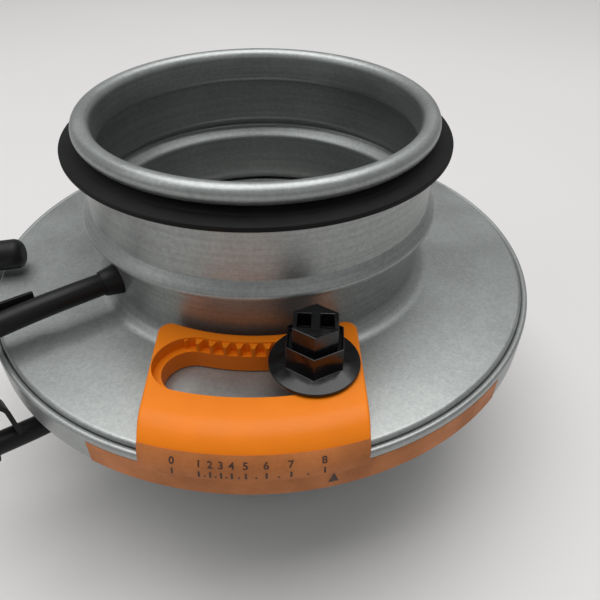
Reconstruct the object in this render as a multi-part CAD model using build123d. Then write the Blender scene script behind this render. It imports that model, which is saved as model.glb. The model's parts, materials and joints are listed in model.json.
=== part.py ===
"""Iris damper for a round duct.

Two pressed steel shells make a flat casing with a spigot on each side. Six
tilted leaves inside it swing in together when a slotted control ring turns.
An orange handle drives the ring, and a hexagonal adjuster with a small pinion
drives the handle along a rack and is clamped by a lock screw.

Sizes are in millimetres. Heights are measured from the top face of the
casing, and the last step lifts every piece so that the lower rim stands on
z = 0. Azimuth is measured from -Y, where the adjuster stands, towards +X.
"""
import os
from math import atan, cos, degrees, radians, sin, tan

from build123d import *

# Shells
sheet = 0.8
spigot_reach = 48.8
casing_depth = 11.4
disc_top = spigot_reach + casing_depth
neck_radius = 48.0
neck_fillet = 5.0
bead_foot = 17.6
bead_middle = 21.0
bead_top = 24.6
bead_corner_radius = neck_radius + 4.6
spigot_radius = neck_radius + 1.3
groove_low = 39.5
rim_section = 2.5
rim_radius = neck_radius + 1.6
rim_roll_angle = 290.0
groove_radius = rim_radius - 2 * rim_section + sheet
disc_overhang = 35.0
skirt_radius = neck_radius + disc_overhang
lip_radius = skirt_radius - 1.9
lip_depth = 3.6
disc_edge_round = 1.2
hem_width = 1.8
hem_depth = 3.2
hem_top = -0.8
pan_edge_round = 2.2

# Gaskets
gasket_radius = spigot_radius + 4.2
gasket_edge = 1.4
gasket_low = 40.5
gasket_clear = 0.05
gasket_round = 0.9

# Leaves, their pivots and their guide pins
leaf_count = 6
leaf_sheet = 0.5
leaf_inner = neck_radius + 0.5
leaf_outer = skirt_radius - 4.0
leaf_tail = -4.0
leaf_tip = 86.0
leaf_corner = 4.0
leaf_level = -6.0
leaf_slope = 0.044
leaf_low_line = skirt_radius - 8.0
first_pivot = 32.3
pivot_circle = skirt_radius - 9.0
pivot_radius = 1.5
pivot_head_radius = 3.0
pivot_head = 0.7
pivot_tail_head = 0.6
pivot_play = 0.25
pin_circle = skirt_radius - 6.0
pin_azimuth = 38.0
pin_radius = 1.5
pin_collar_radius = 2.4
pin_collar_top = 4.55
pin_top = 6.2
pin_tail_head = 0.5
running_fit = 0.08
setting_travel = 24.0

# Control ring and its drive tab
ring_sheet = 1.2
ring_top = -1.3
ring_inner = neck_radius + 2.5
ring_outer = lip_radius - 1.2
slot_play = 0.15
tab_radius = skirt_radius - 7.0
tab_sheet = 1.0
tab_width = 9.0
tab_top = 5.2
tab_from_handle = -11.0
tab_slot_play = 0.6

# Handle
handle_azimuth = -12.8
handle_half_width = 25.2
handle_inner = neck_radius + 2.0
handle_outer = skirt_radius + 2.0
handle_top = 8.4
handle_shoulder = 9.0
handle_corner = 3.0
handle_edge = 0.8
handle_lift = 0.3
apron_low = -1.5
apron_inner = skirt_radius + 0.4
neck_relief_radius = neck_radius + 5.4
neck_relief_height = 1.9
handle_skin = 2.0
pocket_inner = skirt_radius - 10.4
rib = 1.6
rib_play = 0.15
stud_circle = neck_radius + 13.7
handle_slot_start = -15.0
handle_slot_end = -handle_azimuth
handle_slot_half = 6.9
recess_half = 8.75
recess_floor = 5.3

# Rack and pinion
rack_teeth = 98
pinion_teeth = 14
notch_count = 11
rack_azimuth = -setting_travel / 2
mesh_radius = stud_circle * rack_teeth / (rack_teeth + pinion_teeth)
pinion_pitch = stud_circle - mesh_radius
tooth_pitch = 360.0 / rack_teeth
tooth_share = 0.385
tooth_slope = tan(radians(22.0))
tooth_rise = 0.8
tooth_fall = 1.05
rack_top = 8.0

# Adjuster, its boss and the lock screw
boss_radius = 5.0
boss_top = 9.5
screw_radius = 2.45
screw_low = 1.0
screw_hole_radius = 2.7
pinion_low = 5.6
flange_low = 8.7
flange_radius = 10.9
flange_edge = 0.9
flange_top = 10.6
flange_top_radius = 7.2
hex_facing = -17.0
adjuster_flats = 13.1
adjuster_top = 17.0
adjuster_rim = 0.4
adjuster_rim_depth = 1.2
lock_flats = 10.3
lock_low = 16.1
lock_top = 22.0
lock_pocket = (3.1, 4.8)
lock_pocket_depth = 4.0
lock_web = 2.1

# Printed strips
strip_thickness = 0.12
scale_strip_low = 0.1
scale_strip_arc = 37.6
label_low = -10.0
label_high = -3.0
label_start = -41.0
label_end = 35.0

# Measuring tubes, grommets and caps
tube_radius = 3.1
tube_bore = 1.8
tube_seat = 0.02
upper_tube_azimuth = -68.5
lower_tube_azimuth = -61.0
upper_tube_route = [(46.4, 8.8), (58.0, 8.8), (70.0, 8.5), (82.0, 7.7), (93.0, 6.4), (102.0, 4.9)]
lower_tube_route = [(46.4, -21.4), (57.5, -21.4), (68.0, -21.7), (79.0, -21.4), (90.0, -19.6), (101.0, -17.6)]
grommet_foot_radius = 4.4
grommet_nose_radius = 3.5
grommet_nose = neck_radius + 4.6
grommet_stem_radius = 3.9
grommet_stem_end = neck_radius - 1.2
neck_hole_play = 0.05
cap_radius = 4.5
cap_length = 11.0
cap_depth = 8.0
cap_round = 2.5
strap_thickness = 1.2
strap_width = 4.5
upper_strap_root = 72.0
upper_strap_height = 9.6
upper_strap_fall = 6.6
upper_strap_line = [(-2.0, -3.6), (24.0, -3.6), (17.6, -49.0), (-1.2, -39.7)]
upper_strap_bends = [16.0, 11.0]
upper_cap_mouth = (3.2, -37.5)
upper_cap_direction = 153.5
lower_strap_line = [(86.6, -17.4), (87.5, -4.5), (100.0, -4.5), (96.5, -14.3)]
lower_strap_bends = [5.0, 5.0]

# Upright plane through the duct axis and the adjuster, for sections drawn as radius and height
front_plane = Plane((0, 0, 0), x_dir=(0, -1, 0), z_dir=(-1, 0, 0))


def polar(radius, azimuth, height=0.0):
    """Point at a radius and azimuth."""
    return Vector(radius * sin(radians(azimuth)), -radius * cos(radians(azimuth)), height)


def turned(azimuth, shape):
    """Shape turned about the duct axis."""
    return Rot(0, 0, azimuth) * shape


def spun(face, start=0.0, sweep=360.0):
    """Solid of revolution from a face drawn as radius and height, from a start azimuth."""
    return revolve(turned(start, front_plane * face), Axis.Z, revolution_arc=sweep)


def arc_slot(radius, start, end, width):
    """Plan outline of a slot that follows a circle between two azimuths."""
    return SlotArc(CenterArc((0, 0), radius, start - 90, end - start), width)


def slab(outline, low, high):
    """Plan outline made solid between two heights."""
    return extrude(Pos(0, 0, low) * outline, high - low, dir=(0, 0, 1))


def radial_rod(radius, azimuth, height, start, end):
    """Round rod lying along a radius of the duct."""
    rod = Cylinder(radius, end - start, align=(Align.CENTER, Align.CENTER, Align.MIN))
    return turned(azimuth, Pos(0, -start, height) * Rot(90, 0, 0) * rod)


def pressed_shell(edge, edge_rounds):
    """Sheet shell from the edge of its disc, over the neck and bead, to the rolled rim."""
    roll_radius = rim_section - sheet
    rim_centre = (groove_radius + roll_radius, spigot_reach - rim_section)
    corners = edge + [
        (neck_radius, 0),
        (neck_radius, bead_foot),
        (bead_corner_radius, bead_middle),
        (spigot_radius, bead_top),
        (spigot_radius, groove_low),
        (groove_radius, groove_low),
        (groove_radius, rim_centre[1]),
    ]
    rounds = edge_rounds + [neck_fillet, 1.0, 1.5, 0.9, 0.9, 0.9]
    wall = FilletPolyline(corners, radius=rounds)
    sections = [Face(wall.wire().offset_2d(sheet, side=side)) for side in (Side.LEFT, Side.RIGHT)]
    wall_section = min(sections, key=lambda section: section.bounding_box().max.X)
    roll_inside = CenterArc(rim_centre, roll_radius, 180, -rim_roll_angle)
    roll_outside = CenterArc(rim_centre, rim_section, 180, -rim_roll_angle)
    roll_section = make_face([
        roll_inside,
        Line(roll_inside @ 1, roll_outside @ 1),
        roll_outside,
        Line(roll_outside @ 0, roll_inside @ 0),
    ])
    return spun(wall_section) + spun(roll_section)


def neck_hole(azimuth, height):
    """Hole in the neck that a tube's grommet fills."""
    hole_radius = grommet_stem_radius + neck_hole_play
    return radial_rod(hole_radius, azimuth, height, neck_radius - 3, neck_radius + 3)


def mirrored(shape):
    """Shape carried from the upper side of the casing to the lower side."""
    return mirror(shape, Plane.XY.offset(-casing_depth / 2))


def upper_shell():
    """Lid of the casing with the upper spigot and the slot that the drive tab moves in."""
    lid = pressed_shell([(lip_radius, -lip_depth), (lip_radius, 0)], [disc_edge_round])
    tab_rest = handle_azimuth + tab_from_handle
    tab_middle = tab_radius + tab_sheet / 2
    tab_reach = degrees(tab_width / 2 / tab_middle)
    slot = arc_slot(
        tab_middle,
        tab_rest - tab_reach,
        tab_rest + setting_travel + tab_reach,
        tab_sheet + 2 * tab_slot_play,
    )
    lid -= slab(slot, -sheet - 1, 1)
    return lid - neck_hole(upper_tube_azimuth, upper_tube_route[0][1])


def lower_shell():
    """Pan of the casing with a hemmed skirt, the lower spigot and the holes for the pivots."""
    hem_height = -casing_depth - hem_top
    hem_inner = skirt_radius - hem_width
    hem_round = 0.49 * hem_width
    edge = [
        (hem_inner, hem_height + hem_depth),
        (hem_inner, hem_height),
        (skirt_radius, hem_height),
        (skirt_radius, 0),
    ]
    pan = mirrored(pressed_shell(edge, [hem_round, hem_round, pan_edge_round]))
    for number in range(leaf_count):
        hole = Circle(pivot_radius + neck_hole_play)
        pan -= turned(pivot_azimuth(number), at_pivot(slab(hole, -casing_depth - 1, 1 - casing_depth)))
    return pan - neck_hole(lower_tube_azimuth, lower_tube_route[0][1])


def gasket():
    """Rubber ring in the groove under the upper rim, with a sealing lip."""
    inner = groove_radius + gasket_clear
    low = groove_low + gasket_clear
    high = spigot_reach - 2 * rim_section - gasket_clear
    section = FilletPolyline(
        (inner, low),
        (spigot_radius - 0.8, low),
        (spigot_radius, gasket_low),
        (gasket_radius, gasket_low),
        (gasket_radius, gasket_low + gasket_edge),
        (spigot_radius, gasket_low + gasket_edge + 0.4),
        (rim_radius - rim_section, high),
        (inner, high),
        close=True,
        radius=[gasket_round, 0, 0, gasket_edge / 3, gasket_edge / 3, 0, 0, gasket_round],
    )
    return spun(make_face(section))


def pivot_azimuth(number):
    """Azimuth of one leaf's pivot."""
    return first_pivot + number * 360 / leaf_count


def tilted(number, shape):
    """Shape drawn flat round the first pivot line, set at the slope and azimuth of one leaf."""
    low_line = Axis((0, 0, 0), polar(1, leaf_low_line))
    sloped = shape.rotate(low_line, degrees(atan(leaf_slope)))
    return turned(pivot_azimuth(number), Pos(0, 0, leaf_level) * sloped)


def leaf_point(radius, azimuth):
    """Point on the middle plane of the first leaf, before that leaf is turned to its azimuth."""
    low_line = Axis((0, 0, 0), polar(1, leaf_low_line))
    return polar(radius, azimuth).rotate(low_line, degrees(atan(leaf_slope))) + Vector(0, 0, leaf_level)


def at_pivot(shape):
    """Upright shape moved on to the pivot of the first leaf, before that leaf is turned."""
    centre = leaf_point(pivot_circle, 0)
    return Pos(centre.X, centre.Y) * shape


def leaf(number):
    """Curved sheet leaf that turns about the pivot near its tail."""
    band = Circle(leaf_outer) - Circle(leaf_inner)
    reach = 2 * leaf_outer
    wedge = make_face(Polyline(
        (0, 0),
        polar(reach, leaf_tail),
        polar(reach, (leaf_tail + leaf_tip) / 2),
        polar(reach, leaf_tip),
        close=True,
    ))
    outline = band & wedge
    outline = fillet(outline.vertices(), leaf_corner)
    outline -= Pos(polar(pivot_circle, 0)) * Circle(pivot_radius + running_fit)
    outline -= Pos(polar(pin_circle, pin_azimuth)) * Circle(pin_radius)
    return tilted(number, slab(outline, -leaf_sheet / 2, leaf_sheet / 2))


def guide_pin(number):
    """Collared pin riveted in a leaf, whose end runs in a slot of the control ring."""
    half = leaf_sheet / 2
    pin = slab(Circle(pin_radius), -half, pin_top)
    pin += slab(Circle(pin_collar_radius), half, pin_collar_top)
    pin += slab(Circle(pin_collar_radius), -half - pin_tail_head, -half)
    return tilted(number, Pos(polar(pin_circle, pin_azimuth)) * pin)


def leaf_pivots():
    """Six rivets in the pan that the leaves turn about."""
    level = leaf_point(pivot_circle, 0).Z
    play = leaf_sheet / 2 + pivot_play
    rivet = slab(Circle(pivot_radius), -casing_depth, level + play)
    rivet += slab(Circle(pivot_head_radius), level + play, level + play + pivot_head)
    rivet += slab(Circle(pivot_head_radius), sheet - casing_depth, level - play)
    rivet += slab(Circle(pivot_head_radius), -casing_depth - pivot_tail_head, -casing_depth)
    return Compound([
        turned(pivot_azimuth(number), at_pivot(rivet))
        for number in range(leaf_count)
    ])


def pin_in_ring(travel):
    """Plan point where the first leaf's guide pin crosses the ring, seen from the moving ring."""
    low_line = Axis((0, 0, 0), polar(1, leaf_low_line))
    normal = Vector(0, 0, 1).rotate(low_line, degrees(atan(leaf_slope)))
    pivot = leaf_point(pivot_circle, 0)
    pin = leaf_point(pin_circle, pin_azimuth)
    moved = pivot + (pin - pivot).rotate(Axis((0, 0, 0), normal), travel)
    rise = ring_top - ring_sheet / 2 - moved.Z
    crossing = moved + normal * (rise / normal.Z)
    crossing = crossing.rotate(Axis.Z, -travel)
    return (crossing.X, crossing.Y)


def control_ring():
    """Flat ring with a cam slot for each leaf and one tab bent up to the handle."""
    path = ThreePointArc(*[pin_in_ring(setting_travel * share) for share in (0, 0.5, 1)])
    cam_slot = SlotArc(path, 2 * (pin_radius + slot_play))
    outline = Circle(ring_outer) - Circle(ring_inner)
    for number in range(leaf_count):
        outline -= turned(pivot_azimuth(number), cam_slot)
    tab_azimuth = handle_azimuth + tab_from_handle
    middle = tab_radius + tab_sheet / 2
    window_depth = ring_outer - tab_radius
    window = Pos(0, -tab_radius - tab_sheet - window_depth / 2) * Rectangle(tab_width, window_depth)
    outline -= turned(tab_azimuth, window)
    ring = slab(outline, ring_top - ring_sheet, ring_top)
    tab = slab(Pos(0, -middle) * Rectangle(tab_width, tab_sheet), ring_top - ring_sheet, tab_top)
    return ring + turned(tab_azimuth, tab)


def handle_plan():
    """Plan outline of the handle, with its two inner corners rounded."""
    depth = handle_outer + 5
    outline = Pos(0, -depth / 2) * Rectangle(2 * handle_half_width, depth)
    outline -= Circle(handle_inner)
    corners = outline.vertices().sort_by(Axis.Y)[-2:]
    return fillet(corners, handle_corner)


def handle_block():
    """Handle before it is hollowed: flat top, round shoulder and apron."""
    outside = FilletPolyline(
        (handle_inner - 8, handle_lift),
        (handle_inner - 8, handle_top),
        (handle_outer, handle_top),
        (handle_outer, apron_low),
        radius=[0, handle_shoulder],
    )
    underside = Polyline(
        (handle_outer, apron_low),
        (apron_inner, apron_low),
        (apron_inner, handle_lift),
        (handle_inner - 8, handle_lift),
    )
    body = spun(make_face(outside.edges() + underside.edges()), -50, 100)
    body &= slab(handle_plan(), apron_low - 1, handle_top + 1)
    top_edges = body.edges().filter_by(lambda edge: on_handle_rim(edge.center()))
    body = fillet(top_edges, handle_edge)
    relief = make_face(Polyline(
        (handle_inner - 8, apron_low),
        (handle_inner - 8, neck_relief_height),
        (handle_inner, neck_relief_height),
        (neck_relief_radius, handle_lift),
        (neck_relief_radius, apron_low),
        close=True,
    ))
    return body - spun(relief, -50, 100)


def on_handle_rim(point):
    """Whether a point lies on the outer edge of the handle's flat top."""
    return abs(point.Z - handle_top) < 0.01 and Vector(point.X, point.Y).length < handle_outer - handle_shoulder


def handle_pocket():
    """Hollow under the handle's shoulder."""
    section = FilletPolyline(
        (pocket_inner, apron_low - 1),
        (pocket_inner, handle_top - handle_skin),
        (apron_inner, handle_top - handle_skin),
        (apron_inner, apron_low - 1),
        close=True,
        radius=[0, 0, handle_shoulder - handle_skin, 0],
    )
    hollow = spun(make_face(section), -50, 100)
    width = 2 * (handle_half_width - handle_skin)
    return hollow & slab(Pos(0, -handle_outer) * Rectangle(width, 60), 0, handle_top)


def tab_ribs():
    """Two ribs under the handle that hold the drive tab between them."""
    offset = tab_width / 2 + rib_play + rib / 2
    pair = Pos(-offset, 0) * Rectangle(rib, 40) + Pos(offset, 0) * Rectangle(rib, 40)
    return turned(tab_from_handle, slab(Pos(0, -tab_radius) * pair, handle_lift, handle_top))


def tooth(root, tip, pitch, half_thickness, slope):
    """Plan outline of one straight-sided tooth on -Y; a negative slope makes the gap between two."""
    half_root = half_thickness + (pitch - root) * slope
    half_tip = half_thickness + (pitch - tip) * slope
    return make_face(Polyline(
        (-half_root, -root),
        (half_root, -root),
        (half_tip, -tip),
        (-half_tip, -tip),
        close=True,
    ))


def rack():
    """Toothed strip on the inner wall of the handle's recess."""
    pitch_arc = 2 * radians(tooth_pitch / 2) * mesh_radius
    half_gap = pitch_arc * (1 - tooth_share) / 2
    root = mesh_radius - tooth_fall
    tip = mesh_radius + tooth_rise
    reach = notch_count * tooth_pitch / 2
    strip = spun(
        make_face(Polyline((root - 1, recess_floor), (tip, recess_floor), (tip, rack_top), (root - 1, rack_top), close=True)),
        -reach,
        2 * reach,
    )
    notch = slab(tooth(root, tip + 0.2, mesh_radius, half_gap, -tooth_slope), recess_floor, handle_top)
    middle = (notch_count - 1) / 2
    for number in range(notch_count):
        strip -= turned((number - middle) * tooth_pitch, notch)
    return strip


def handle():
    """Moulded handle with the slot, the recess with its rack, and the hollow shoulder."""
    pocket = handle_pocket()
    body = handle_block() - pocket
    body += tab_ribs() & pocket
    through = arc_slot(stud_circle, handle_slot_start, handle_slot_end, 2 * handle_slot_half)
    recess = arc_slot(stud_circle, handle_slot_start, handle_slot_end, 2 * recess_half)
    body -= slab(through, 0, handle_top + 1)
    body -= slab(recess, recess_floor, handle_top + 1)
    return turned(handle_azimuth, body) + turned(rack_azimuth, rack())


def scale_strip():
    """Printed strip round the apron of the handle."""
    centre = (handle_outer - handle_shoulder, handle_top - handle_shoulder)
    start = (handle_outer, apron_low + scale_strip_low)
    inside = CenterArc(centre, handle_shoulder, 0, scale_strip_arc)
    outside = CenterArc(centre, handle_shoulder + strip_thickness, 0, scale_strip_arc)
    section = make_face([
        Line(start, inside @ 0),
        inside,
        Line(inside @ 1, outside @ 1),
        outside,
        Line(outside @ 0, (handle_outer + strip_thickness, start[1])),
        Line((handle_outer + strip_thickness, start[1]), start),
    ])
    band = spun(section, -30, 60)
    side = Pos(0, -handle_outer) * Rectangle(2 * handle_half_width - 0.1, 40)
    return turned(handle_azimuth, band & slab(side, apron_low, handle_top))


def pointer_label():
    """Printed strip round the front of the skirt."""
    section = Pos(skirt_radius + strip_thickness / 2, (label_low + label_high) / 2)
    section *= Rectangle(strip_thickness, label_high - label_low)
    return spun(section, label_start, label_end - label_start)


def hexagon(flats):
    """Plan outline of a hexagon with one corner towards the front."""
    return RegularPolygon(flats / 2, 6, major_radius=False, rotation=hex_facing - 90)


def stud_boss():
    """Threaded boss on the lid that carries the adjuster."""
    ring = Circle(boss_radius) - Circle(screw_radius + running_fit)
    return Pos(polar(stud_circle, 0)) * slab(ring, 0, boss_top)


def pinion():
    """Toothed wheel of the adjuster, with one tooth in the nearest notch of the rack."""
    half_tooth = radians(180 / pinion_teeth) * pinion_pitch * tooth_share
    root = pinion_pitch - tooth_fall
    outline = Circle(root)
    one = tooth(root - 0.3, pinion_pitch + tooth_rise, pinion_pitch, half_tooth, tooth_slope)
    notch_azimuth = rack_azimuth + tooth_pitch * round(-rack_azimuth / tooth_pitch)
    start = 180 - notch_azimuth * rack_teeth / pinion_teeth
    for number in range(pinion_teeth):
        outline += Rot(0, 0, start + number * 360 / pinion_teeth) * one
    return slab(outline, pinion_low, flange_low)


def adjuster():
    """Hexagonal adjuster with a flange over the handle and the pinion under it."""
    flange = spun(make_face(Polyline(
        (0, flange_low),
        (flange_radius, flange_low),
        (flange_radius, flange_low + flange_edge),
        (flange_top_radius, flange_top),
        (0, flange_top),
        close=True,
    )))
    body = pinion() + flange + slab(hexagon(adjuster_flats), flange_low, adjuster_top)
    floor = adjuster_top - adjuster_rim_depth
    body -= slab(hexagon(adjuster_flats - 2 * adjuster_rim), floor, adjuster_top + 1)
    body -= slab(Circle(boss_radius + running_fit), 0, boss_top + handle_lift)
    body -= slab(Circle(screw_hole_radius), 0, adjuster_top)
    return Pos(polar(stud_circle, 0)) * body


def lock_screw():
    """Hexagonal screw with two pockets in its head, clamping the adjuster on its boss."""
    body = slab(hexagon(lock_flats), lock_low, lock_top)
    offset = (lock_pocket[0] + lock_web) / 2
    pockets = Pos(-offset, 0) * Rectangle(*lock_pocket) + Pos(offset, 0) * Rectangle(*lock_pocket)
    body -= Rot(0, 0, hex_facing) * slab(pockets, lock_top - lock_pocket_depth, lock_top + 1)
    body += slab(Circle(screw_radius), screw_low, lock_low)
    return Pos(polar(stud_circle, 0)) * body


def tube_path(route):
    """Centre line of a tube: straight runs joined by the widest arcs that fit."""
    points = [Vector(0, -radius, height) for radius, height in route]
    runs = [end - start for start, end in zip(points, points[1:])]
    bends = []
    for before, after in zip(runs, runs[1:]):
        half_turn = radians(before.get_angle(after)) / 2
        bends.append(0.45 * min(before.length, after.length) / tan(half_turn))
    print("tube bend radii", [round(bend) for bend in bends])
    return FilletPolyline(points, radius=bends)


def tube(azimuth, route):
    """Soft measuring tube that leaves the neck along a radius."""
    path = tube_path(route)
    ring = Circle(tube_radius) - Circle(tube_bore)
    hose = sweep(Plane(path @ 0, z_dir=path % 0) * ring, path)
    print("tube length", round(path.length, 1), "volume over section", round(hose.volume / ring.area, 1))
    return turned(azimuth, hose)


def grommet(azimuth, height):
    """Flared rubber foot that holds a tube in the neck."""
    flare = Cone(
        grommet_foot_radius,
        grommet_nose_radius,
        grommet_nose - neck_radius,
        align=(Align.CENTER, Align.CENTER, Align.MIN),
    )
    foot = turned(azimuth, Pos(0, -neck_radius, height) * Rot(90, 0, 0) * flare)
    foot += radial_rod(grommet_foot_radius, azimuth, height, neck_radius - 0.4, neck_radius)
    foot -= Cylinder(neck_radius + gasket_clear, 200)
    foot += radial_rod(grommet_stem_radius, azimuth, height, grommet_stem_end, neck_radius + 0.5)
    return foot - radial_rod(tube_radius + tube_seat, azimuth, height, neck_radius - 5, grommet_nose + 1)


def cap_shell():
    """Round-ended rubber cap standing on its open mouth."""
    outside = FilletPolyline(
        (tube_radius + tube_seat, 0),
        (cap_radius, 0),
        (cap_radius, cap_length),
        (0, cap_length),
        radius=[0, cap_round],
    )
    inside = Polyline((0, cap_length), (0, cap_depth), (tube_radius + tube_seat, cap_depth), (tube_radius + tube_seat, 0))
    return spun(make_face(outside.edges() + inside.edges()))


def strap(line, bends):
    """Flat strap that follows a bent line drawn in plan."""
    path = FilletPolyline(line, radius=bends)
    return extrude(SlotArc(path.wire(), strap_thickness), strap_width / 2, both=True)


def upper_cap():
    """Cap off its tube, lying on the lid at the end of its strap."""
    root = polar(upper_strap_root, upper_tube_azimuth, upper_strap_height)
    outward = polar(1, upper_tube_azimuth)
    normal = Vector(0, 0, 1).rotate(Axis((0, 0, 0), outward), upper_strap_fall)
    plane = Plane(root, x_dir=outward, z_dir=normal)
    mouth = Pos(*upper_cap_mouth) * Rot(0, 0, upper_cap_direction) * Rot(0, 90, 0)
    return plane * (strap(upper_strap_line, upper_strap_bends) + mouth * cap_shell())


def lower_cap():
    """Cap pressed on the end of its tube, with its strap bowed back to the tube."""
    path = tube_path(lower_tube_route)
    seat = Plane(path @ 1 - (path % 1) * cap_depth, z_dir=path % 1)
    bow = front_plane * strap(lower_strap_line, lower_strap_bends)
    return turned(lower_tube_azimuth, bow + seat * cap_shell())


def all_pieces():
    """Every piece of the damper by name."""
    pieces = {
        "upper_shell": upper_shell(),
        "lower_shell": lower_shell(),
        "upper_gasket": gasket(),
        "lower_gasket": mirrored(gasket()),
        "control_ring": control_ring(),
        "leaf_pivots": leaf_pivots(),
        "handle": handle(),
        "scale_strip": scale_strip(),
        "pointer_label": pointer_label(),
        "stud_boss": stud_boss(),
        "adjuster": adjuster(),
        "lock_screw": lock_screw(),
        "upper_tube": tube(upper_tube_azimuth, upper_tube_route),
        "lower_tube": tube(lower_tube_azimuth, lower_tube_route),
        "upper_grommet": grommet(upper_tube_azimuth, upper_tube_route[0][1]),
        "lower_grommet": grommet(lower_tube_azimuth, lower_tube_route[0][1]),
        "upper_cap": upper_cap(),
        "lower_cap": lower_cap(),
    }
    for number in range(leaf_count):
        pieces[f"leaf_{number + 1}"] = leaf(number)
        pieces[f"guide_pin_{number + 1}"] = guide_pin(number)
    return pieces


os.makedirs("parts", exist_ok=True)
for name, piece in all_pieces().items():
    export_step(Pos(0, 0, disc_top) * piece, f"parts/{name}.step")
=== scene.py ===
"""Iris damper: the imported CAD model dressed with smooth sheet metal, rubber, mouldings and print."""

import json
from math import acos, atan2, cos, degrees, pi, radians, sin, tan

import bpy
from bpy.props import FloatProperty, FloatVectorProperty, IntProperty, PointerProperty
from mathutils import Matrix, Vector

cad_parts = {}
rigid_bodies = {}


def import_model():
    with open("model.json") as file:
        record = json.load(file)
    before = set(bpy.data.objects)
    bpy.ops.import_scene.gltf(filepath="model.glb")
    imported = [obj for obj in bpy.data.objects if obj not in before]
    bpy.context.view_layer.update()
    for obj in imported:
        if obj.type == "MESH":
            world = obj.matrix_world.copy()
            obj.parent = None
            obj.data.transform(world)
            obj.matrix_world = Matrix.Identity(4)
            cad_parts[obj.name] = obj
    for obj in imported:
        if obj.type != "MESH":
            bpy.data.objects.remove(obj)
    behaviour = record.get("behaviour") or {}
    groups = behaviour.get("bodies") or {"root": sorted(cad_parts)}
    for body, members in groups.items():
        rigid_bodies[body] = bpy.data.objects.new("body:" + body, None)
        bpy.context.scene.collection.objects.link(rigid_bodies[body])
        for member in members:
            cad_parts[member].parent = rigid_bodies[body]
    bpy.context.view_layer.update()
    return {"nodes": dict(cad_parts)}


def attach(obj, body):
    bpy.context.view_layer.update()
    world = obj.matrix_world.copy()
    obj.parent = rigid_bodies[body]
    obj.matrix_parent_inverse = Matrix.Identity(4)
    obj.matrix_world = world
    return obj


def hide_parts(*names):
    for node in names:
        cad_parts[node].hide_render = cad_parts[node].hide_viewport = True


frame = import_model()

bl_info = {
    "name": "Iris damper",
    "version": (1, 0, 0),
    "blender": (4, 5, 0),
    "location": "View3D > Sidebar > Damper",
    "description": "Dresses the iris damper and sets its studio",
    "category": "Object",
}

MM = 0.001
LEAF_COUNT = 6

# Points closer than this are merged, in metres, in a new mesh and in a copy of a CAD node
NEW_WELD = 0.000001
COPY_WELD = 0.000002

# Largest angle between faces that shade as one curve, in degrees, in a new mesh and in a copy
NEW_SMOOTH = 35
COPY_SMOOTH = 40

# Turn of the rolled rim beyond the groove's wall, and the step between its points, in degrees
ROLL_ANGLE = 290
ROLL_STEP = 10

# Printed scale: each number and its azimuth in degrees from the middle of the handle
SCALE_NUMBERS = [
    ("0", -11.9), ("1", -7.9), ("2", -6.25), ("3", -4.7), ("4", -3.15),
    ("5", -1.15), ("6", 1.8), ("7", 5.35), ("8", 10.25),
]

# Print of the scale in millimetres, with rows measured up from the strip's lower edge
NUMBER_SIZE = 2.5
NUMBER_WEIGHT = 0.05
NUMBER_ROW = 4.3
MARK_WIDTH = 0.46
TICK_ROW = (0.7, 2.5)
DOT_ROW = (0.8, 1.3)

# Pointer on the skirt: radius and width share of its triangle, azimuth, height, and lift off the skirt
POINTER_RADIUS = 2.3
POINTER_SHARE = 0.62
POINTER_AZIMUTH = -0.65
POINTER_HEIGHT = -6.9
POINTER_LIFT = 0.16

# Scratch on the lid: width and length, radius, azimuth, and lift off the lid
SCRATCH_SIZE = (0.16, 2.9)
SCRATCH_RADIUS = 68.0
SCRATCH_AZIMUTH = -52.5
SCRATCH_LIFT = 0.02

# Control points of the tubes as radius and height above the casing's top face, in millimetres
UPPER_ROUTE = [(46.4, 8.8), (58.0, 8.8), (70.0, 8.5), (82.0, 7.7), (93.0, 6.4), (102.0, 4.9)]
LOWER_ROUTE = [(46.4, -21.4), (57.5, -21.4), (68.0, -21.7), (79.0, -21.4), (90.0, -19.6), (101.0, -17.6)]

# Camera: lens and sensor in millimetres, angles in degrees, place as radius, azimuth and height
LENS = 33.9
SENSOR = 36.0
CAMERA_HEADING = -14.73
CAMERA_TILT = 50.24
CAMERA_ROLL = 0.74
CAMERA_PLACE = (153.4, -10.2, 105.4)

# Lamps: name, place, aim, width and height in metres, and power in watts
LAMPS = [
    ("ceiling_window", (0.0, 0.15, 1.2), (0, 0, 0.06), 1.5, 1.0, 15.5),
    ("left_window", (-1.0, -0.1, 0.8), (0, 0, 0.06), 0.5, 0.8, 1.2),
    ("front_fill", (0.3, -1.0, 0.8), (0, 0, 0.05), 0.8, 0.5, 0.4),
]
SKY_STRENGTH = 0.28
FLOOR_SIZE = 6

# Noise mostly lies between these two values
NOISE_LOW = 0.3
NOISE_HIGH = 0.7

WHITE = (1.0, 1.0, 1.0)


def number_property(name, description, value):
    """Size in millimetres or angle in degrees that can be set in the panel."""
    return FloatProperty(name=name, description=description, default=value)


def colour_property(name, description, value):
    """Colour that can be set in the panel."""
    return FloatVectorProperty(name=name, description=description, subtype="COLOR", default=value)


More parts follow.
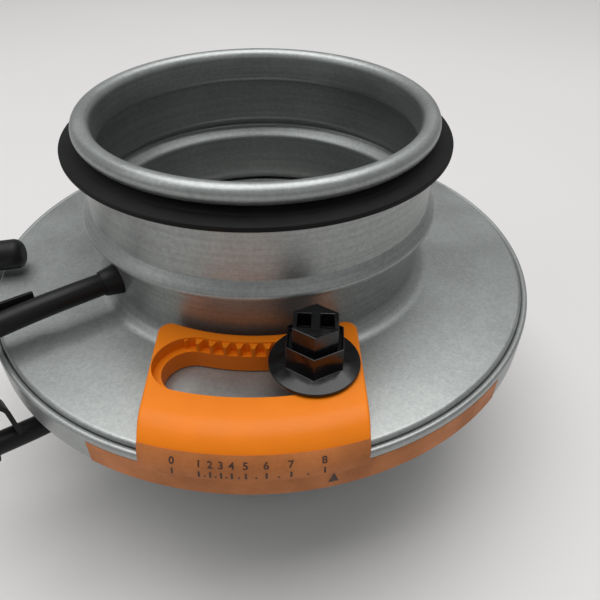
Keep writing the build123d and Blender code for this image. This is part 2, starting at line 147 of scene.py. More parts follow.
class DamperSizes(bpy.types.PropertyGroup):
    """Sizes in millimetres and angles in degrees, with heights measured from the casing's top face."""
    disc_top: number_property("Casing top", "Height of the casing's top face over the floor", 60.2)
    casing_depth: number_property("Casing depth", "Between the two outer faces", 11.4)
    sheet: number_property("Sheet", "Thickness of the pressed sheet", 0.8)
    spigot_reach: number_property("Spigot reach", "From a casing face to the rim", 48.8)
    neck_radius: number_property("Neck radius", "Outside of the neck", 48.0)
    neck_round: number_property("Neck round", "Round between disc and neck", 5.0)
    bead_low: number_property("Bead foot", "Height where the bead starts", 17.6)
    bead_middle: number_property("Bead middle", "Height of the bead's crest", 21.0)
    bead_high: number_property("Bead top", "Height where the bead ends", 24.6)
    bead_reach: number_property("Bead reach", "From the neck to the corner that the crest rounds", 4.6)
    spigot_radius: number_property("Spigot radius", "Plain wall above the bead", 49.3)
    rim_radius: number_property("Rim radius", "Outside of the rolled rim", 49.6)
    rim_section: number_property("Rim section", "Radius of the rolled bead", 2.5)
    groove_low: number_property("Groove foot", "Lower wall of the gasket groove", 39.5)
    lip_radius: number_property("Lid edge", "Outside of the lid's turned edge", 81.1)
    lip_depth: number_property("Lid edge depth", "Depth of the lid's turned edge", 3.6)
    lip_round: number_property("Lid edge round", "Round of the lid's turned edge", 1.2)
    slot_inside: number_property("Slot inside", "Inner radius of the lid's drive slot", 75.4)
    slot_outside: number_property("Slot outside", "Outer radius of the lid's drive slot", 77.6)
    slot_start: number_property("Slot start", "Azimuth where the drive slot starts", -27.2)
    slot_sweep: number_property("Slot sweep", "Angle that the drive slot spans", 30.8)
    slot_cut: number_property("Slot cut", "Reach of the cut to each side of the lid's face", 2.0)
    skirt_radius: number_property("Skirt radius", "Outside of the pan's skirt", 83.0)
    skirt_round: number_property("Skirt round", "Round between skirt and pan", 2.2)
    hem_width: number_property("Hem width", "Across the folded edge of the skirt", 1.8)
    hem_drop: number_property("Hem drop", "From the lid's face down to the hem", 0.8)
    hem_turn: number_property("Hem turn", "Depth of the hem's inner side", 3.2)
    hem_round: number_property("Hem round", "Round of the folded edge", 0.88)
    gasket_radius: number_property("Gasket radius", "Outside of the sealing lip", 53.5)
    gasket_play: number_property("Gasket play", "Between the gasket and its groove", 0.05)
    gasket_corner: number_property("Gasket corner", "Cut-off corner at the groove's foot", 0.9)
    gasket_taper: number_property("Gasket taper", "Step between foot and plain wall", 0.8)
    seal_low: number_property("Seal underside", "Underside of the sealing lip", 40.5)
    seal_high: number_property("Seal top", "Top of the sealing lip at its edge", 41.9)
    seal_root: number_property("Seal root", "Top of the sealing lip at its root", 42.3)
    handle_azimuth: number_property("Handle azimuth", "Middle of the handle at rest", -12.8)
    apron_radius: number_property("Apron radius", "Outside of the handle's apron", 85.0)
    apron_straight: number_property("Apron straight", "Upright part of the scale strip", 0.8)
    apron_bend: number_property("Apron bend", "Height where the shoulder starts", -0.6)
    shoulder: number_property("Shoulder", "Radius of the handle's shoulder", 9.0)
    print_lift: number_property("Print lift", "Of the scale print off the apron", 0.14)
    label_inside: number_property("Label inside", "Gap between skirt and label", 0.01)
    label_outside: number_property("Label outside", "From the skirt to the label's face", 0.12)
    label_low: number_property("Label foot", "Lower edge of the skirt's label", -10.0)
    label_high: number_property("Label top", "Upper edge of the skirt's label", -3.0)
    label_start: number_property("Label start", "Azimuth where the label starts", -41.0)
    label_sweep: number_property("Label sweep", "Angle that the label spans", 76.0)
    tube_radius: number_property("Tube radius", "Outside of a measuring tube", 3.1)
    upper_tube: number_property("Upper tube", "Azimuth of the upper tube", -68.5)
    lower_tube: number_property("Lower tube", "Azimuth of the lower tube", -61.0)
    steps: IntProperty(name="Turning steps", description="Facets round a turned piece", default=192)


class DamperColours(bpy.types.PropertyGroup):
    """Colours of the damper's finishes and of the studio."""
    zinc: colour_property("Zinc", "Galvanised sheet", (0.42, 0.44, 0.425))
    orange: colour_property("Handle", "Handle", (0.80, 0.205, 0.006))
    black: colour_property("Adjuster", "Adjuster and lock screw", (0.0045, 0.0045, 0.005))
    rubber: colour_property("Rubber", "Gaskets and tubes", (0.006, 0.006, 0.006))
    strip: colour_property("Strip", "Printed strips", (0.56, 0.19, 0.055))
    ink: colour_property("Ink", "Scale print", (0.035, 0.014, 0.008))
    floor: colour_property("Floor", "Studio floor and backdrop", (0.70, 0.685, 0.675))
    sky: colour_property("Sky", "Light of the surroundings", (0.97, 0.98, 1.0))


def sizes():
    """Sizes of the damper."""
    return bpy.context.scene.damper_sizes


def colours():
    """Colours of the damper."""
    return bpy.context.scene.damper_colours


def polar(radius, azimuth, height):
    """Point in metres from millimetres: azimuth from the adjuster, height from the casing's top face."""
    turn = radians(azimuth)
    return Vector((radius * sin(turn), -radius * cos(turn), height + sizes().disc_top)) * MM


# Materials

def new_material(name):
    """Material with its node tree, its shader and its object coordinates."""
    material = bpy.data.materials.new(name)
    material.use_nodes = True
    tree = material.node_tree
    shader = tree.nodes["Principled BSDF"]
    place = tree.nodes.new("ShaderNodeTexCoord")
    return material, tree, shader, place.outputs["Object"]


def noise(tree, place, scale, detail, stretch=(1, 1, 1)):
    """Noise value over the piece, with its pattern scaled along the axes."""
    mapping = tree.nodes.new("ShaderNodeMapping")
    mapping.inputs["Scale"].default_value = stretch
    tree.links.new(place, mapping.inputs["Vector"])
    texture = tree.nodes.new("ShaderNodeTexNoise")
    texture.inputs["Scale"].default_value = scale
    texture.inputs["Detail"].default_value = detail
    tree.links.new(mapping.outputs["Vector"], texture.inputs["Vector"])
    return texture.outputs["Fac"]


def ramp(tree, value, low, high, dark, pale):
    """Colour that runs between two colours as a value runs between two limits."""
    node = tree.nodes.new("ShaderNodeValToRGB")
    node.color_ramp.elements[0].position = low
    node.color_ramp.elements[0].color = (*dark, 1)
    node.color_ramp.elements[1].position = high
    node.color_ramp.elements[1].color = (*pale, 1)
    tree.links.new(value, node.inputs["Fac"])
    return node.outputs["Color"]


def shade(colour, factor):
    """Colour made darker or paler."""
    return tuple(min(1.0, part * factor) for part in colour)


def spread(tree, value, low, high):
    """Noise value mapped on to a range."""
    node = tree.nodes.new("ShaderNodeMapRange")
    node.inputs["From Min"].default_value = NOISE_LOW
    node.inputs["From Max"].default_value = NOISE_HIGH
    node.inputs["To Min"].default_value = low
    node.inputs["To Max"].default_value = high
    tree.links.new(value, node.inputs["Value"])
    return node.outputs["Result"]


def multiplied(tree, first, second):
    """Two colours multiplied together."""
    node = tree.nodes.new("ShaderNodeMix")
    node.data_type = "RGBA"
    node.blend_type = "MULTIPLY"
    node.inputs["Factor"].default_value = 1.0
    tree.links.new(first, node.inputs["A"])
    tree.links.new(second, node.inputs["B"])
    return node.outputs["Result"]


def bump(tree, shader, height, strength, distance):
    """Surface relief from a value."""
    node = tree.nodes.new("ShaderNodeBump")
    node.inputs["Strength"].default_value = strength
    node.inputs["Distance"].default_value = distance
    tree.links.new(height, node.inputs["Height"])
    tree.links.new(node.outputs["Normal"], shader.inputs["Normal"])


def galvanised_material():
    """Galvanised sheet with fine spangle, drawing marks round the spigot and dull patches."""
    material, tree, shader, place = new_material("galvanised_sheet")
    zinc = colours().zinc
    grain = noise(tree, place, scale=1400.0, detail=3.0)
    patches = noise(tree, place, scale=45.0, detail=5.0)
    streaks = noise(tree, place, scale=30.0, detail=6.0, stretch=(0.6, 0.6, 60.0))
    spangle = tree.nodes.new("ShaderNodeTexVoronoi")
    spangle.inputs["Scale"].default_value = 900.0
    tree.links.new(place, spangle.inputs["Vector"])
    colour = ramp(tree, patches, 0.3, 0.72, shade(zinc, 0.92), shade(zinc, 1.06))
    flakes = ramp(tree, spangle.outputs["Color"], 0.1, 0.9, (0.90, 0.90, 0.90), WHITE)
    fine = ramp(tree, grain, 0.35, 0.68, (0.87, 0.87, 0.88), WHITE)
    marks = ramp(tree, streaks, 0.3, 0.62, (0.84, 0.84, 0.85), WHITE)
    for layer in (flakes, fine, marks):
        colour = multiplied(tree, colour, layer)
    tree.links.new(colour, shader.inputs["Base Color"])
    tree.links.new(spread(tree, patches, 0.38, 0.48), shader.inputs["Roughness"])
    shader.inputs["Metallic"].default_value = 0.8
    bump(tree, shader, grain, strength=0.22, distance=0.00012)
    return material


def bright_steel_material():
    """Plain zinc-coated sheet of the inner pieces and rivets."""
    material, tree, shader, place = new_material("bright_sheet")
    brushed = noise(tree, place, scale=220.0, detail=5.0, stretch=(1.0, 12.0, 1.0))
    colour = ramp(tree, brushed, 0.3, 0.7, (0.50, 0.51, 0.52), (0.68, 0.69, 0.70))
    tree.links.new(colour, shader.inputs["Base Color"])
    tree.links.new(spread(tree, brushed, 0.3, 0.45), shader.inputs["Roughness"])
    shader.inputs["Metallic"].default_value = 0.9
    bump(tree, shader, brushed, strength=0.1, distance=0.00008)
    return material


def orange_material():
    """Satin orange moulding with a faint flow pattern."""
    material, tree, shader, place = new_material("orange_moulding")
    orange = colours().orange
    cloud = noise(tree, place, scale=60.0, detail=3.0)
    texture = noise(tree, place, scale=2600.0, detail=2.0)
    colour = ramp(tree, cloud, 0.3, 0.7, shade(orange, 0.93), shade(orange, 1.06))
    tree.links.new(colour, shader.inputs["Base Color"])
    tree.links.new(spread(tree, cloud, 0.36, 0.46), shader.inputs["Roughness"])
    shader.inputs["Specular IOR Level"].default_value = 0.22
    shader.inputs["Subsurface Weight"].default_value = 0.08
    shader.inputs["Subsurface Radius"].default_value = (0.002, 0.0008, 0.0003)
    shader.inputs["Subsurface Scale"].default_value = 0.6
    bump(tree, shader, texture, strength=0.06, distance=0.00005)
    return material


def black_plastic_material():
    """Glossy black moulding with dust and rubbed patches."""
    material, tree, shader, place = new_material("black_moulding")
    black = colours().black
    dust = noise(tree, place, scale=900.0, detail=6.0)
    rub = noise(tree, place, scale=260.0, detail=4.0)
    colour = ramp(tree, dust, 0.58, 0.8, black, shade(black, 5.0))
    tree.links.new(colour, shader.inputs["Base Color"])
    tree.links.new(spread(tree, rub, 0.12, 0.28), shader.inputs["Roughness"])
    shader.inputs["Specular IOR Level"].default_value = 0.4
    bump(tree, shader, rub, strength=0.12, distance=0.0001)
    return material


def rubber_material(name, low, high, dusty, gloss):
    """Black rubber with a dust bloom, between two values of roughness."""
    material, tree, shader, place = new_material(name)
    rubber = colours().rubber
    bloom = noise(tree, place, scale=70.0, detail=7.0)
    pores = noise(tree, place, scale=2200.0, detail=3.0)
    colour = ramp(tree, bloom, 0.42, 0.75, rubber, shade(rubber, dusty))
    tree.links.new(colour, shader.inputs["Base Color"])
    tree.links.new(spread(tree, bloom, low, high), shader.inputs["Roughness"])
    shader.inputs["Specular IOR Level"].default_value = gloss
    bump(tree, shader, pores, strength=0.15, distance=0.00008)
    return material


def strip_material():
    """Salmon printed strip with rubbed and dirty patches."""
    material, tree, shader, place = new_material("strip_paper")
    strip = colours().strip
    dirt = noise(tree, place, scale=95.0, detail=7.0)
    fibre = noise(tree, place, scale=1500.0, detail=3.0)
    body = ramp(tree, dirt, 0.34, 0.66, shade(strip, 0.74), shade(strip, 1.08))
    fine = ramp(tree, fibre, 0.3, 0.7, (0.9, 0.9, 0.9), WHITE)
    tree.links.new(multiplied(tree, body, fine), shader.inputs["Base Color"])
    tree.links.new(spread(tree, dirt, 0.62, 0.44), shader.inputs["Roughness"])
    shader.inputs["Specular IOR Level"].default_value = 0.2
    bump(tree, shader, fibre, strength=0.08, distance=0.00005)
    return material


def ink_material():
    """Dark print with worn specks."""
    material, tree, shader, place = new_material("scale_ink")
    ink = colours().ink
    worn = noise(tree, place, scale=1800.0, detail=4.0)
    colour = ramp(tree, worn, 0.45, 0.8, ink, shade(ink, 4.0))
    tree.links.new(colour, shader.inputs["Base Color"])
    shader.inputs["Roughness"].default_value = 0.6
    return material


def floor_material():
    """Pale matt floor that also stands as the background."""
    material, tree, shader, place = new_material("studio_floor")
    floor = colours().floor
    cloud = noise(tree, place, scale=3.0, detail=2.0)
    colour = ramp(tree, cloud, 0.3, 0.7, shade(floor, 0.98), shade(floor, 1.02))
    tree.links.new(colour, shader.inputs["Base Color"])
    shader.inputs["Roughness"].default_value = 0.7
    return material


def material_named(name, maker, *values):
    """Material that is made once and then shared."""
    return bpy.data.materials.get(name) or maker(*values)


def galvanised():
    """Finish of the two shells."""
    return material_named("galvanised_sheet", galvanised_material)


def bright_steel():
    """Finish of the iris, the rivets and the boss."""
    return material_named("bright_sheet", bright_steel_material)


def gasket_rubber():
    """Dull finish of the gaskets."""
    return material_named("lip_rubber", rubber_material, "lip_rubber", 0.55, 0.8, 2.5, 0.15)


def tube_rubber():
    """Smoother finish of the tubes, their feet and their caps."""
    return material_named("hose_rubber", rubber_material, "hose_rubber", 0.34, 0.52, 1.6, 0.25)


# Modelling steps

def clear_selection():
    """Object mode with nothing selected."""
    if bpy.context.object and bpy.context.object.mode != "OBJECT":
        bpy.ops.object.mode_set(mode="OBJECT")
    bpy.ops.object.select_all(action="DESELECT")


def select_only(piece):
    """Object mode with one piece selected and active."""
    clear_selection()
    bpy.context.view_layer.objects.active = piece
    piece.select_set(True)


def edit_whole():
    """Edit mode on the active piece with all of it selected."""
    bpy.ops.object.mode_set(mode="EDIT")
    bpy.ops.mesh.select_all(action="SELECT")


def weld(distance):
    """Merges points that lie closer than a distance, and leaves all of the mesh selected."""
    bpy.ops.mesh.select_all(action="SELECT")
    bpy.ops.mesh.remove_doubles(threshold=distance)
    bpy.ops.mesh.select_all(action="SELECT")


def start_point(name, point):
    """New mesh in edit mode, holding one selected point."""
    clear_selection()
    bpy.ops.mesh.primitive_plane_add(size=MM, location=(0, 0, 0))
    piece = bpy.context.object
    piece.name = name
    piece.data.name = name
    edit_whole()
    bpy.ops.mesh.merge(type="CENTER")
    bpy.ops.transform.translate(value=point)
    return piece


def rounded_line(corners, step=12.0):
    """Points of a line of (radius, height, rounding) corners, with an arc at each rounded corner."""
    points = []
    for number, (x, y, rounding) in enumerate(corners):
        here = Vector((x, y))
        if rounding == 0 or number in (0, len(corners) - 1):
            points.append(here)
            continue
        before = (Vector(corners[number - 1][:2]) - here).normalized()
        after = (Vector(corners[number + 1][:2]) - here).normalized()
        half = acos(max(-1.0, min(1.0, before.dot(after)))) / 2
        middle = here + (before + after).normalized() * rounding / sin(half)
        first = here + before * rounding / tan(half) - middle
        last = here + after * rounding / tan(half) - middle
        start = atan2(first.y, first.x)
        sweep = (atan2(last.y, last.x) - start + pi) % (2 * pi) - pi
        count = max(2, round(abs(degrees(sweep)) / step))
        for share in range(count + 1):
            angle = start + sweep * share / count
            points.append(middle + Vector((cos(angle), sin(angle))) * rounding)
    return points


def oblong(inside, outside, low, high):
    """Corners of an oblong section between two radii and two heights."""
    corners = ((inside, low), (outside, low), (outside, high), (inside, high))
    return [Vector(corner) for corner in corners]


def walled(points, thickness):
    """Closed outline of a sheet whose outer face follows the points, with the metal on their left."""
    inner = []
    for number, point in enumerate(points):
        ahead = points[min(number + 1, len(points) - 1)]
        behind = points[max(number - 1, 0)]
        along = (ahead - behind).normalized()
        inner.append(point + Vector((-along.y, along.x)) * thickness)
    return points + inner[::-1]


def turned_piece(name, outline, start=0.0, sweep=360.0):
    """Closed outline of radius and height turned about the duct axis, from an azimuth through a sweep."""
    places = [polar(point.x, start, point.y) for point in outline]
    places.append(places[0])
    piece = start_point(name, places[0])
    for before, after in zip(places, places[1:]):
        bpy.ops.mesh.extrude_vertices_move(TRANSFORM_OT_translate={"value": after - before})
    weld(NEW_WELD)
    steps = max(8, round(sizes().steps * sweep / 360))
    bpy.ops.mesh.spin(steps=steps, angle=radians(sweep), center=(0, 0, 0), axis=(0, 0, -1))
    weld(NEW_WELD)
    if sweep < 360:
        bpy.ops.mesh.fill_holes(sides=0)
        bpy.ops.mesh.select_all(action="SELECT")
    bpy.ops.mesh.normals_make_consistent(inside=False)
    bpy.ops.object.mode_set(mode="OBJECT")
    bpy.ops.object.shade_smooth_by_angle(angle=radians(NEW_SMOOTH))
    return piece


def finish_piece(piece, material, body, slot, *nodes):
    """Gives a piece its material and body, and hides the CAD nodes that it stands for."""
    piece.data.materials.clear()
    piece.data.materials.append(material)
    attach(piece, body)
    if nodes:
        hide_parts(*nodes)


def show_node(node, material):
    """Gives a CAD node that stays its finished material."""
    piece = frame["nodes"][node]
    piece.data.materials.clear()
    piece.data.materials.append(material)


def cut_away(piece, cutter):
    """Cuts one closed mesh out of another and removes the cutter."""
    select_only(piece)
    cut = piece.modifiers.new("cut", "BOOLEAN")
    cut.operation = "DIFFERENCE"
    cut.object = cutter
    cut.solver = "EXACT"
    bpy.ops.object.modifier_apply(modifier="cut")
    bpy.data.objects.remove(cutter, do_unlink=True)
    bpy.ops.object.shade_smooth_by_angle(angle=radians(NEW_SMOOTH))


def soften_edges(piece, edge):
    """Joins the facets of flat faces and rounds the sharp edges between them."""
    edit_whole()
    bpy.ops.mesh.dissolve_limited(angle_limit=radians(1))
    bpy.ops.object.mode_set(mode="OBJECT")
    bevel = piece.modifiers.new("edge", "BEVEL")
    bevel.width = edge * MM
    bevel.segments = 2
    bevel.limit_method = "ANGLE"
    bevel.angle_limit = radians(38)
    bpy.ops.object.modifier_apply(modifier="edge")


def flatten_faces(piece):
    """Keeps flat faces flat beside rounded edges by weighting the normals with the faces' areas."""
    flat = piece.modifiers.new("flat_faces", "WEIGHTED_NORMAL")
    flat.keep_sharp = True
    bpy.ops.object.modifier_apply(modifier="flat_faces")


def dressed_copy(node, material, body, slot, edge=0.0):
    """Copy of a CAD node with its triangles merged, its curves smooth and, if asked, its edges softened."""
    select_only(frame["nodes"][node])
    bpy.ops.object.duplicate(linked=False)
    piece = bpy.context.object
    piece.name = f"{node}_dressed"
    bpy.ops.object.parent_clear(type="CLEAR_KEEP_TRANSFORM")
    bpy.ops.mesh.customdata_custom_splitnormals_clear()
    edit_whole()
    weld(COPY_WELD)
    bpy.ops.object.mode_set(mode="OBJECT")
    if edge > 0:
        soften_edges(piece, edge)
    bpy.ops.object.shade_smooth_by_angle(angle=radians(COPY_SMOOTH))
    if edge > 0:
        flatten_faces(piece)
    finish_piece(piece, material, body, slot, node)


# Shells and gaskets

def groove_radius():
    """Radius of the gasket groove's floor, where the rolled rim starts."""
    size = sizes()
    return size.rim_radius - 2 * size.rim_section + size.sheet


def shell_line(edge):
    """Outline of a shell's sheet, from the edge of its disc to the rim that rolls outward."""
    size = sizes()
    groove = groove_radius()
    roll = size.rim_section - size.sheet
    centre = Vector((groove + roll, size.spigot_reach - size.rim_section))
    points = rounded_line(edge + [
        (size.neck_radius, 0, size.neck_round),
        (size.neck_radius, size.bead_low, 1.0),
        (size.neck_radius + size.bead_reach, size.bead_middle, 1.5),
        (size.spigot_radius, size.bead_high, 0.9),
        (size.spigot_radius, size.groove_low, 0.9),
        (groove, size.groove_low, 0.9),
        (groove, centre.y, 0),
    ])
    for turned in range(ROLL_STEP, ROLL_ANGLE + 1, ROLL_STEP):
        angle = radians(180 - turned)
        points.append(centre + Vector((cos(angle), sin(angle))) * roll)
    return walled(points, size.sheet)


def to_lower_side(outline):
    """Outline carried to the other side of the casing."""
    depth = sizes().casing_depth
    return [Vector((point.x, -depth - point.y)) for point in outline]


def make_lid():
    """Lid with its turned edge, its spigot and the slot for the drive tab."""
    size = sizes()
    edge = [(size.lip_radius, -size.lip_depth, 0), (size.lip_radius, 0, size.lip_round)]
    lid = turned_piece("lid_sheet", shell_line(edge))
    section = oblong(size.slot_inside, size.slot_outside, -size.slot_cut, size.slot_cut)
    cut_away(lid, turned_piece("drive_slot", section, size.slot_start, size.slot_sweep))
    finish_piece(lid, galvanised(), "casing", "galvanised_steel", "upper_shell")


def make_pan():
    """Pan with its hemmed skirt and its spigot."""
    size = sizes()
    hem = size.skirt_radius - size.hem_width
    hem_height = size.hem_drop - size.casing_depth
    edge = [
        (hem, hem_height + size.hem_turn, 0),
        (hem, hem_height, size.hem_round),
        (size.skirt_radius, hem_height, size.hem_round),
        (size.skirt_radius, 0, size.skirt_round),
    ]
    pan = turned_piece("pan_sheet", to_lower_side(shell_line(edge)))
    finish_piece(pan, galvanised(), "casing", "galvanised_steel", "lower_shell")


class DAMPER_OT_shells(bpy.types.Operator):
    """Make the lid with its drive slot and the pan with its hemmed skirt"""
    bl_idname = "damper.shells"
    bl_label = "Shells"

    def execute(self, context):
        make_lid()
        make_pan()
        return {"FINISHED"}


def gasket_line():
    """Outline of a gasket that fills its groove and reaches out as a lip."""
    size = sizes()
    inner = groove_radius() + size.gasket_play
    low = size.groove_low + size.gasket_play
    high = size.spigot_reach - 2 * size.rim_section - size.gasket_play
    return rounded_line([
        (inner + size.gasket_corner, low, 0),
        (size.spigot_radius - size.gasket_taper, low, 0.2),
        (size.spigot_radius, size.seal_low, 0.3),
        (size.gasket_radius, size.seal_low, 0.45),
        (size.gasket_radius, size.seal_high, 0.45),
        (size.spigot_radius, size.seal_root, 0.4),
        (size.rim_radius - size.rim_section, high, 0.2),
        (inner, high, 0.9),
        (inner, low + size.gasket_corner, 0),
    ])


class DAMPER_OT_gaskets(bpy.types.Operator):
    """Make the two rubber lip gaskets"""
    bl_idname = "damper.gaskets"
    bl_label = "Gaskets"

    def execute(self, context):
        outline = gasket_line()
        upper = turned_piece("upper_lip", outline)
        finish_piece(upper, gasket_rubber(), "casing", "gasket_rubber", "upper_gasket")
        lower = turned_piece("lower_lip", to_lower_side(outline))
        finish_piece(lower, gasket_rubber(), "casing", "gasket_rubber", "lower_gasket")
        return {"FINISHED"}


# Measuring tubes

def tube_curve(name, points):
    """Round curve with closed ends along control points."""
    data = bpy.data.curves.new(name, "CURVE")
    data.dimensions = "3D"
    spline = data.splines.new("NURBS")
    spline.points.add(len(points) - 1)
    for control, point in zip(spline.points, points):
        control.co = (*point, 1)
    spline.order_u = 3
    spline.use_endpoint_u = True
    spline.resolution_u = 16
    data.bevel_depth = sizes().tube_radius * MM
    data.bevel_resolution = 8
    data.use_fill_caps = True
    return data


def add_tube(name, route, azimuth, node):
    """Soft tube along the control points of its route."""
    points = [polar(radius, azimuth, height) for radius, height in route]
    tube = bpy.data.objects.new(name, tube_curve(name, points))
    bpy.context.scene.collection.objects.link(tube)
    finish_piece(tube, tube_rubber(), "casing", "tube_rubber", node)


class DAMPER_OT_tubes(bpy.types.Operator):
    """Make the two measuring tubes and finish their feet and caps"""
    bl_idname = "damper.tubes"
    bl_label = "Measuring tubes"

    def execute(self, context):
        size = sizes()
        for node in ("upper_cap", "lower_cap"):
            show_node(node, tube_rubber())
        add_tube("upper_hose", UPPER_ROUTE, size.upper_tube, "upper_tube")
        add_tube("lower_hose", LOWER_ROUTE, size.lower_tube, "lower_tube")
        for node in ("upper_grommet", "lower_grommet"):
            dressed_copy(node, tube_rubber(), "casing", "tube_rubber", edge=0.3)
        return {"FINISHED"}


# Handle, adjuster and iris

class DAMPER_OT_mouldings(bpy.types.Operator):
    """Finish the handle, the adjuster, the lock screw and the boss"""
    bl_idname = "damper.mouldings"
    bl_label = "Mouldings"

    def execute(self, context):
        orange = material_named("orange_moulding", orange_material)
        black = material_named("black_moulding", black_plastic_material)
        dressed_copy("handle", orange, "setting", "orange_plastic")
        dressed_copy("adjuster", black, "adjuster_body", "black_plastic", edge=0.16)
        dressed_copy("lock_screw", black, "lock_body", "black_plastic", edge=0.22)
        dressed_copy("stud_boss", bright_steel(), "casing", "bright_steel", edge=0.2)
        return {"FINISHED"}


class DAMPER_OT_iris(bpy.types.Operator):
    """Finish the control ring, the leaves, their pins and their rivets"""
    bl_idname = "damper.iris"
    bl_label = "Iris"

    def execute(self, context):
        dressed_copy("control_ring", bright_steel(), "setting", "bright_steel")
        dressed_copy("leaf_pivots", bright_steel(), "casing", "bright_steel", edge=0.2)
        for number in range(1, LEAF_COUNT + 1):
            body = f"leaf_{number}_body"
            dressed_copy(f"leaf_{number}", bright_steel(), body, "bright_steel")
            dressed_copy(f"guide_pin_{number}", bright_steel(), body, "bright_steel", edge=0.2)
        return {"FINISHED"}


# Printed strips, print and wear

class DAMPER_OT_strips(bpy.types.Operator):
    """Make the printed strips of the handle and the skirt"""
    bl_idname = "damper.strips"
    bl_label = "Printed strips"

    def execute(self, context):
        size = sizes()
        paper = material_named("strip_paper", strip_material)
        dressed_copy("scale_strip", paper, "setting", "printed_strip")
        inside = size.skirt_radius + size.label_inside
        outside = size.skirt_radius + size.label_outside
        section = oblong(inside, outside, size.label_low, size.label_high)
        label = turned_piece("skirt_label", section, size.label_start, size.label_sweep)
        finish_piece(label, paper, "casing", "printed_strip", "pointer_label")
        return {"FINISHED"}


def on_apron(along):
    """Radius, height and lean of the scale strip's face, by distance up from the strip's lower edge."""
    size = sizes()
    bent = along - size.apron_straight
    angle = max(0.0, bent) / size.shoulder
    reach = size.shoulder + size.print_lift
    radius = size.apron_radius - size.shoulder + reach * cos(angle)
    height = size.apron_bend + reach * sin(angle) + min(0.0, bent)
    return radius, height, degrees(angle)


def lay_flat(piece, azimuth, radius, height, lean):
    """Turns a flat mark upright, leans it with the surface, and moves it to its place for good."""
    stand = Matrix.Rotation(radians(90 - lean), 4, "X")
    turn = Matrix.Rotation(radians(azimuth), 4, "Z")
    piece.matrix_world = Matrix.Translation(polar(radius, azimuth, height)) @ turn @ stand
    select_only(piece)
    bpy.ops.object.transform_apply(location=True, rotation=True, scale=True)


def add_number(text, azimuth):
    """One printed number of the scale."""
    clear_selection()
    bpy.ops.object.text_add(location=(0, 0, 0))
    letter = bpy.context.object
    letter.name = f"scale_number_{text}"
    letter.data.body = text
    letter.data.size = NUMBER_SIZE * MM
    letter.data.align_x = "CENTER"
    letter.data.align_y = "CENTER"
    letter.data.offset = NUMBER_WEIGHT * MM
    bpy.ops.object.convert(target="MESH")
    piece = bpy.context.object
    lay_flat(piece, azimuth, *on_apron(NUMBER_ROW))
    return piece


def flat_mark(name, width, height):
    """Flat oblong that lies at the origin."""
    clear_selection()
    bpy.ops.mesh.primitive_plane_add(size=1, location=(0, 0, 0))
    piece = bpy.context.object
    piece.name = name
    edit_whole()
    bpy.ops.transform.resize(value=(width * MM, height * MM, 1))
    bpy.ops.object.mode_set(mode="OBJECT")
    return piece


def add_tick(name, azimuth, row):
    """One printed tick or dot of the scale, between the two edges of its row."""
    low, high = row
    piece = flat_mark(name, MARK_WIDTH, high - low)
    lay_flat(piece, azimuth, *on_apron((low + high) / 2))
    return piece


def joined(name, pieces):
    """Pieces joined into one mesh."""
    clear_selection()
    for piece in pieces:
        piece.select_set(True)
    bpy.context.view_layer.objects.active = pieces[0]
    bpy.ops.object.join()
    whole = bpy.context.object
    whole.name = name
    whole.data.name = name
    return whole


def print_scale(ink):
    """Numbers and ticks of the scale on the handle, with a dot between neighbours from 1 to 8."""
    middle = sizes().handle_azimuth
    marks = []
    for text, place in SCALE_NUMBERS:
        marks.append(add_number(text, middle + place))
        marks.append(add_tick(f"scale_tick_{text}", middle + place, TICK_ROW))
    places = [place for text, place in SCALE_NUMBERS[1:]]
    for number, (first, second) in enumerate(zip(places, places[1:])):
        marks.append(add_tick(f"scale_dot_{number}", middle + (first + second) / 2, DOT_ROW))
    finish_piece(joined("scale_print", marks), ink, "setting", "printed_strip")


def print_pointer(ink):
    """Triangle on the skirt that points up at the scale."""
    clear_selection()
    radius = POINTER_RADIUS * MM
    bpy.ops.mesh.primitive_circle_add(vertices=3, radius=radius, fill_type="NGON", location=(0, 0, 0))
    pointer = bpy.context.object
    pointer.name = "skirt_pointer"
    edit_whole()
    bpy.ops.transform.resize(value=(POINTER_SHARE, 1.0, 1.0))
    bpy.ops.object.mode_set(mode="OBJECT")
    lay_flat(pointer, POINTER_AZIMUTH, sizes().skirt_radius + POINTER_LIFT, POINTER_HEIGHT, 0.0)
    finish_piece(pointer, ink, "casing", "printed_strip")


class DAMPER_OT_print(bpy.types.Operator):
    """Print the scale on the handle and the pointer on the skirt"""
    bl_idname = "damper.print"
    bl_label = "Scale print"

    def execute(self, context):
        ink = material_named("scale_ink", ink_material)
        print_scale(ink)
        print_pointer(ink)
        return {"FINISHED"}


class DAMPER_OT_wear(bpy.types.Operator):
    """Scratch the lid beside the handle"""
    bl_idname = "damper.wear"
    bl_label = "Wear"

    def execute(self, context):
        scratch = flat_mark("lid_scratch", *SCRATCH_SIZE)
        lay_flat(scratch, SCRATCH_AZIMUTH, SCRATCH_RADIUS, SCRATCH_LIFT, 90.0)
        finish_piece(scratch, bright_steel(), "casing", "bright_steel")
        return {"FINISHED"}


# Studio

def add_area_light(name, place, aim, width, height, power):
    """Soft lamp that faces a point."""
    data = bpy.data.lights.new(name, "AREA")
    data.shape = "RECTANGLE"
    data.size = width
    data.size_y = height
    data.energy = power
    lamp = bpy.data.objects.new(name, data)
    bpy.context.scene.collection.objects.link(lamp)
    lamp.location = place
    lamp.rotation_euler = (Vector(aim) - Vector(place)).to_track_quat("-Z", "Y").to_euler()


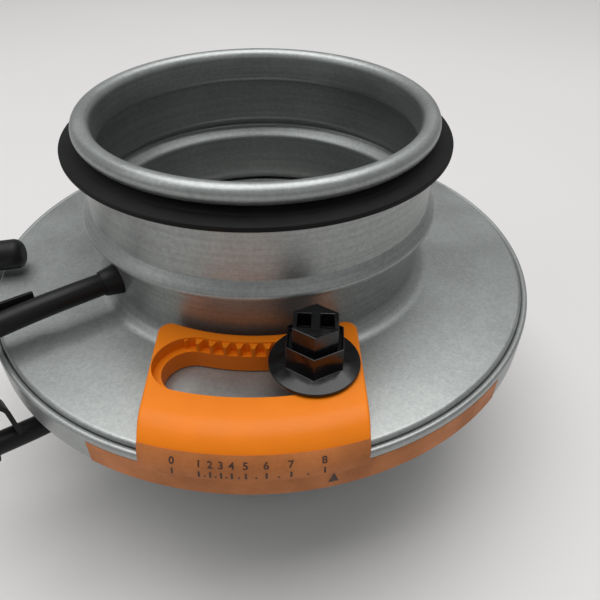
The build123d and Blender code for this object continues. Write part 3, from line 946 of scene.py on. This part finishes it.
def add_camera():
    """Camera at the photograph's angle."""
    data = bpy.data.cameras.new("photo_view")
    data.lens = LENS
    data.sensor_width = SENSOR
    data.clip_start = 0.005
    camera = bpy.data.objects.new("photo_view", data)
    bpy.context.scene.collection.objects.link(camera)
    heading = Matrix.Rotation(radians(CAMERA_HEADING), 4, "Z")
    tilt = Matrix.Rotation(radians(CAMERA_TILT), 4, "X")
    roll = Matrix.Rotation(radians(CAMERA_ROLL), 4, "Z")
    camera.matrix_world = Matrix.Translation(polar(*CAMERA_PLACE)) @ heading @ tilt @ roll
    bpy.context.scene.camera = camera


def add_floor():
    """Large pale floor under the damper."""
    clear_selection()
    bpy.ops.mesh.primitive_grid_add(x_subdivisions=8, y_subdivisions=8, size=FLOOR_SIZE, location=(0, 0, 0))
    floor = bpy.context.object
    floor.name = "studio_floor"
    floor.data.materials.append(material_named("studio_floor", floor_material))


def light_world():
    """Even surroundings, which the camera sees as pale as the floor."""
    world = bpy.context.scene.world or bpy.data.worlds.new("studio")
    bpy.context.scene.world = world
    world.use_nodes = True
    tree = world.node_tree
    surroundings = tree.nodes["Background"]
    surroundings.inputs["Color"].default_value = (*colours().sky, 1)
    surroundings.inputs["Strength"].default_value = SKY_STRENGTH
    backdrop = tree.nodes.new("ShaderNodeBackground")
    backdrop.inputs["Color"].default_value = (*colours().floor, 1)
    path = tree.nodes.new("ShaderNodeLightPath")
    chosen = tree.nodes.new("ShaderNodeMixShader")
    tree.links.new(path.outputs["Is Camera Ray"], chosen.inputs["Fac"])
    tree.links.new(surroundings.outputs["Background"], chosen.inputs[1])
    tree.links.new(backdrop.outputs["Background"], chosen.inputs[2])
    tree.links.new(chosen.outputs["Shader"], tree.nodes["World Output"].inputs["Surface"])


class DAMPER_OT_stage(bpy.types.Operator):
    """Set the floor, the lamps and the camera"""
    bl_idname = "damper.stage"
    bl_label = "Stage"

    def execute(self, context):
        add_floor()
        light_world()
        for lamp in LAMPS:
            add_area_light(*lamp)
        add_camera()
        context.scene.view_settings.view_transform = "Standard"
        return {"FINISHED"}


OPERATORS = [
    DAMPER_OT_stage,
    DAMPER_OT_tubes,
    DAMPER_OT_shells,
    DAMPER_OT_gaskets,
    DAMPER_OT_mouldings,
    DAMPER_OT_iris,
    DAMPER_OT_strips,
    DAMPER_OT_print,
    DAMPER_OT_wear,
]


class DAMPER_PT_panel(bpy.types.Panel):
    """Steps that dress the damper, with its sizes and colours"""
    bl_idname = "DAMPER_PT_panel"
    bl_label = "Iris damper"
    bl_space_type = "VIEW_3D"
    bl_region_type = "UI"
    bl_category = "Damper"

    def draw(self, context):
        for operator in OPERATORS:
            self.layout.operator(operator.bl_idname)
        for group in (context.scene.damper_sizes, context.scene.damper_colours):
            for name in group.__annotations__:
                self.layout.prop(group, name)


CLASSES = [DamperSizes, DamperColours, *OPERATORS, DAMPER_PT_panel]


def register():
    """Adds the classes and gives each scene its sizes and colours."""
    for entry in CLASSES:
        bpy.utils.register_class(entry)
    bpy.types.Scene.damper_sizes = PointerProperty(type=DamperSizes)
    bpy.types.Scene.damper_colours = PointerProperty(type=DamperColours)


def unregister():
    """Takes the sizes, the colours and the classes away again."""
    del bpy.types.Scene.damper_colours
    del bpy.types.Scene.damper_sizes
    for entry in reversed(CLASSES):
        bpy.utils.unregister_class(entry)


def main():
    """Dresses the whole damper."""
    register()
    for operator in OPERATORS:
        group, step = operator.bl_idname.split(".")
        getattr(getattr(bpy.ops, group), step)()


if __name__ == "__main__":
    main()
